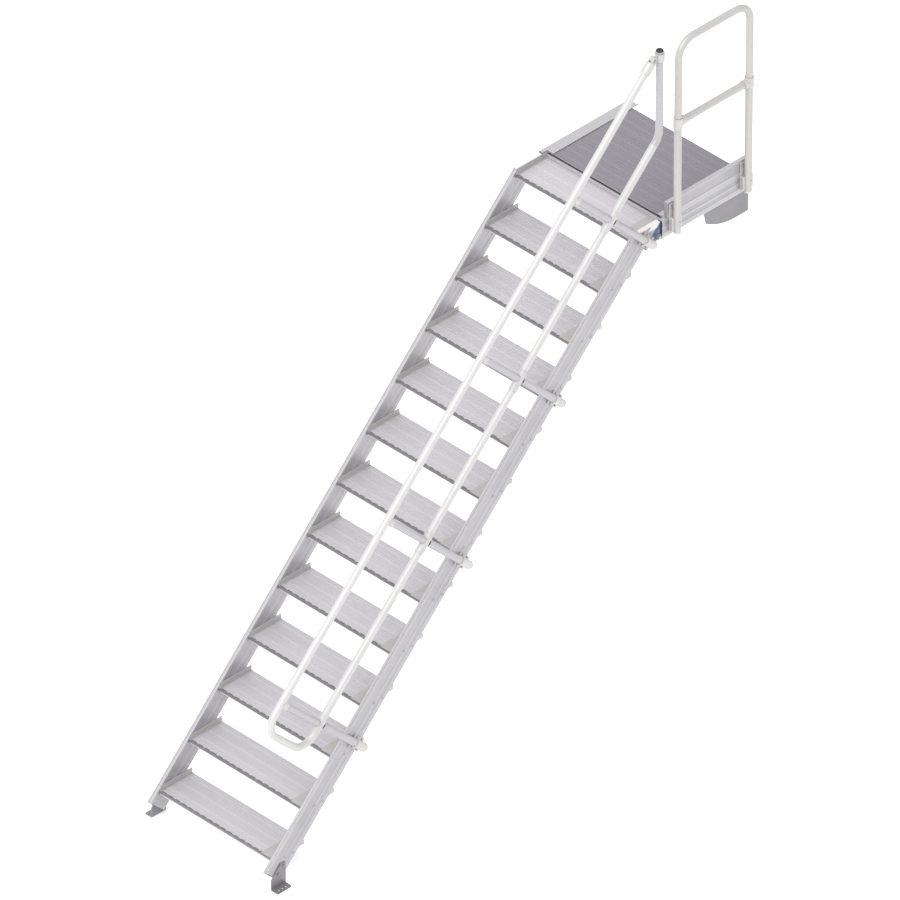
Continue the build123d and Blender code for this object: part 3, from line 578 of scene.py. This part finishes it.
# Platform beams, toe board and cross beams: hollow extrusions in mill finish, their
# lines level, with brighter beads where the profile stands proud and a painted highlight on faces that look
# up.
# Zinc plated brackets join them to the flight and to the wall, and plates close the beams' ends, black as
# painted shade.
beam_middle = 0.4205
beam_panel = 0.0119
beam_metal = metal_finish(
    "platform aluminium",
    plain=(0.355, 0.348, 0.365), dull=(0.324, 0.318, 0.335), bright=(0.475, 0.47, 0.485),
    beads={"Profile Middle": beam_middle, "Panel Face": beam_panel}, **mill_skin,
)
dress(("platform_beam_left", "platform_beam_right", "toe_board", "cross_beams"), beam_metal)
dress(("joint_brackets", "wall_brackets"), bracket_zinc)
# The beams' end plates are black as painted shade on the beams' end faces.
dress(("beam_end_plates",), black_plastic)


def eased_block(name, size, middle, bevel):
    """A block with all its edges bevelled."""
    piece = block(name, size, middle)
    bpy.ops.object.mode_set(mode="EDIT")
    bpy.ops.mesh.select_mode(type="EDGE")
    bpy.ops.mesh.select_all(action="SELECT")
    bpy.ops.mesh.bevel(offset=bevel, segments=1, affect="EDGES")
    bpy.ops.object.mode_set(mode="OBJECT")
    return piece


# The open ends of the toe board are closed with thin pressed plates.
toe_end_x = (2.7553, 3.3592)
toe_middle = (0.0355, 2.7595)
toe_plate = (0.001, 0.0245, 0.0905)
toe_plate_bevel = 0.0003
for index, end_x in enumerate(toe_end_x):
    end_plate = eased_block(f"toe_board_end_{index + 1}", toe_plate, (end_x, *toe_middle), toe_plate_bevel)
    finish_piece(end_plate, beam_metal)

# Bolts of the platform: one in each joint bracket's boss, two through each beam into its
# wall bracket. All are bright zinc plated steel.
zinc = metal_finish(
    "zinc plated steel",
    plain=(0.42, 0.42, 0.43), dull=(0.33, 0.33, 0.34), bright=(0.55, 0.55, 0.56),
    fineness=500.0, metallic=0.9, roughness=0.35, relief=0.00005, edge=0.0008,
)
boss_x = 2.6938
boss_z = 2.632
boss_face = 0.433
joint_bolt_places = [facing_side(boss_x, mid_y + side * boss_face, boss_z, side) for side in (1, -1)]
joint_bolt = hex_bolt(across_flats=0.019, head_height=0.0075, washer_radius=0.012, washer_height=0.0025)
set_out("joint_bolts", joint_bolt, joint_bolt_places, zinc)

gusset_face = 0.402
gusset_bolt_x = (3.11, 3.30)
gusset_bolt_z = 2.6255
gusset_bolt_places = [
    facing_side(x, mid_y + side * gusset_face, gusset_bolt_z, -side)
    for x in gusset_bolt_x for side in (1, -1)
]
gusset_bolt = hex_bolt(across_flats=0.016, head_height=0.0064, washer_radius=0.010)
set_out("gusset_bolts", gusset_bolt, gusset_bolt_places, zinc)


# Deck: dark grey ribbed aluminium planks laid across the platform, with a nosing bar of
# tread aluminium in front. A black plastic grip strip is pressed into the bar.
deck_bands = {"First Plank": 2.7518, "Plank Pitch": 0.19, "First Band": 0.038, "Band Pitch": 0.055}
deck_metal = metal_finish(
    "dark deck plank",
    plain=(0.243, 0.233, 0.261), dull=(0.222, 0.213, 0.24), bright=(0.277, 0.268, 0.295),
    mark_share=0.35, metallic=0.3, roughness=0.5, bands=deck_bands, **plank_skin,
)
dress(("deck_planks",), deck_metal)
dress(("deck_nosing",), tread_metal)

deck_top = 2.71
insert_x = 2.7435
insert_width = 0.0125
insert_length = 0.79
insert_height = 0.0025
insert_proud = 0.0012
insert_bevel = 0.0006
insert = eased_block(
    "deck_nosing_insert",
    (insert_width, insert_length, insert_height),
    (insert_x, mid_y, deck_top + insert_proud - insert_height / 2),
    insert_bevel,
)
finish_piece(insert, black_plastic)


# Handrail: drawn and bent aluminium tube. The two rails and the end loop are pale satin; the posts and the
# riser are a greyer copy of the same satin as painted shade. The fine lines run along the rails and along
# the posts.
tube_skin = {"fineness": 240.0, "line_share": 0.4, "mark_share": 0.3, "roughness": 0.4}
rail_metal = metal_finish(
    "pale satin tube",
    plain=(0.50, 0.497, 0.493), dull=(0.46, 0.457, 0.455), bright=(0.56, 0.556, 0.55),
    turn=(0.0, pitch, 0.0), metallic=0.15, **tube_skin,
)
dress(("handrail_top_rail", "handrail_end_loop", "handrail_knee_rail"), rail_metal)

# Painted shade: the posts and the riser take the rails' satin tube, made greyer.
tube_painted_shade = metal_finish(
    "satin tube with painted shade",
    plain=(0.40, 0.393, 0.41), dull=(0.36, 0.353, 0.372), bright=(0.47, 0.463, 0.48),
    turn=(0.0, -pitch, 0.0), metallic=0.25, **tube_skin,
)
post_positions = (0.71, 1.76, 2.69, 3.60)
post_names = tuple(f"handrail_post_{index + 1}" for index in range(len(post_positions)))
dress((*post_names, "handrail_riser"), tube_painted_shade)


# Fittings of the rails: small blasted castings that clamp on the tubes, such as the sleeves,
# cups and tees, the swivel connector and the guard rail's brackets. The post clamps are paler.
cast_skin = {"fineness": 300.0, "line_share": 0.15, "mark_share": 0.5, "roughness": 0.5, "relief": 0.0004}
fitting_metal = metal_finish(
    "blasted casting",
    plain=(0.50, 0.49, 0.485), dull=(0.44, 0.43, 0.425), bright=(0.58, 0.57, 0.56),
    metallic=0.3, **cast_skin,
)
dress(("rail_fittings", "swivel_connector", "guard_tees", "guard_brackets"), fitting_metal)
clamp_metal = metal_finish(
    "pale casting",
    plain=(0.51, 0.50, 0.48), dull=(0.465, 0.455, 0.437), bright=(0.58, 0.57, 0.55),
    metallic=0.15, **cast_skin,
)
dress(("post_clamps",), clamp_metal)


def on_slope(along, height, y, side):
    """Place a fixing on an upright face, given along the pitch line and square to it."""
    x = (along - height) * cos(pitch)
    z = first_rise + (along + height) * sin(pitch)
    return facing_side(x, y, z, side)


# Each post clamp has an ear before and one behind its post, with two bolts through each ear.
ear_face = 0.026
ear_middle = 0.0293
clamp_bolt_heights = (-0.111, -0.067)
clamp_bolt_places = [
    on_slope(post + ear, height, ear_face, -1)
    for post in post_positions for ear in (-ear_middle, ear_middle) for height in clamp_bolt_heights
]
clamp_bolt = hex_bolt(across_flats=0.010, head_height=0.004, washer_radius=0.006, washer_height=0.001)
set_out("clamp_bolts", clamp_bolt, clamp_bolt_places, zinc)

# Small set screws hold the tubes: one in each cup and two in each sleeve of the knee rail.
rail_y = 0.006
fitting_radius = 0.0231
cup_height = 0.636
knee_height = 0.3026
knee_screw_back = (-0.045, 0.034)
set_screw_size = Matrix.Scale(0.5, 4)
set_screw_places = [
    on_slope(post, cup_height, rail_y - fitting_radius, -1) @ set_screw_size for post in post_positions
]
set_screw_places += [
    on_slope(post + back, knee_height, rail_y - fitting_radius, -1) @ set_screw_size
    for post in post_positions for back in knee_screw_back
]
set_out("set_screws", button_head(), set_screw_places, zinc)

# One bolt is the clamped pivot of the swivel connector.
pivot_x = 2.625
pivot_face = -0.0093
pivot_z = 3.75
rail_bolt = {"across_flats": 0.013, "head_height": 0.0053, "washer_radius": 0.008}
pivot_bolt_place = facing_side(pivot_x, pivot_face, pivot_z, -1)
set_out("pivot_bolt", hex_bolt(**rail_bolt), [pivot_bolt_place], zinc)


# Guard rail on the right of the platform: one aluminium tube bent to a hoop, with a knee
# rail, in a warmer satin finish. Its legs stand in brackets that are bolted to the beam.
guard_metal = metal_finish(
    "warm satin tube",
    plain=(0.44, 0.429, 0.417), dull=(0.404, 0.395, 0.383), bright=(0.51, 0.50, 0.49),
    turn=(0.0, pi / 2, 0.0), metallic=0.2, **tube_skin,
)
dress(("guard_hoop", "guard_knee_rail"), guard_metal)

guard_post_x = (2.7988, 3.3058)
guard_plate_face = 0.018
guard_bolt_across = 0.0265
guard_bolt_z = 2.778
guard_bolt_places = [
    facing_side(x + across, guard_plate_face, guard_bolt_z, -1)
    for x in guard_post_x for across in (-guard_bolt_across, guard_bolt_across)
]
set_out("guard_bolts", hex_bolt(**rail_bolt), guard_bolt_places, zinc)

guard_tube_face = -0.0218
tube_bolt_z = 2.694
tube_bolt_places = [facing_side(x, guard_tube_face, tube_bolt_z, -1) for x in guard_post_x]
set_out("guard_tube_bolts", button_head(), tube_bolt_places, zinc)


# Riser cap: a flat round plug of black moulded plastic, pressed into the open top end
# of the handrail's riser.
dress(("riser_cap",), black_plastic)
